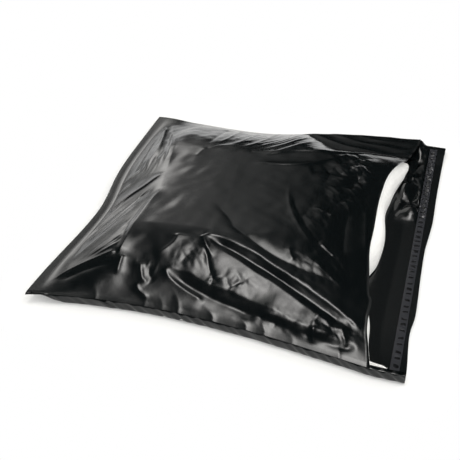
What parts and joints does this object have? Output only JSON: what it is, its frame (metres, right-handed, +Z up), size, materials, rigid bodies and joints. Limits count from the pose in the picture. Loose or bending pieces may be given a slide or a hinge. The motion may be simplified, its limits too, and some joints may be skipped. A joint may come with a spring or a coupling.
{
  "type": "poly mailer bag",
  "caption": "Filled film mailing bag lying on its back panel, mouth not yet closed, with an open adhesive flap under its release liner.",
  "frame": {"origin": "under the middle of the bag, at the surface it lies on", "axes": "+X from the closed end to the flap, +Y across the bag to its far weld, +Z up"},
  "size_m": [0.5076, 0.5434, 0.0679],
  "materials": {
    "black_film": "soft gloss polyethylene film",
    "hot_melt": "dull pressure-sensitive adhesive",
    "liner_film": "dull grey release liner with fine crosswise wrinkles",
    "white_pack": "soft matt white wrapper"
  },
  "bodies": {
    "root": {"mailer_film": "black_film", "adhesive_strip": "hot_melt", "release_liner": "liner_film", "soft_pack": "white_pack"}
  },
  "joints": []
}
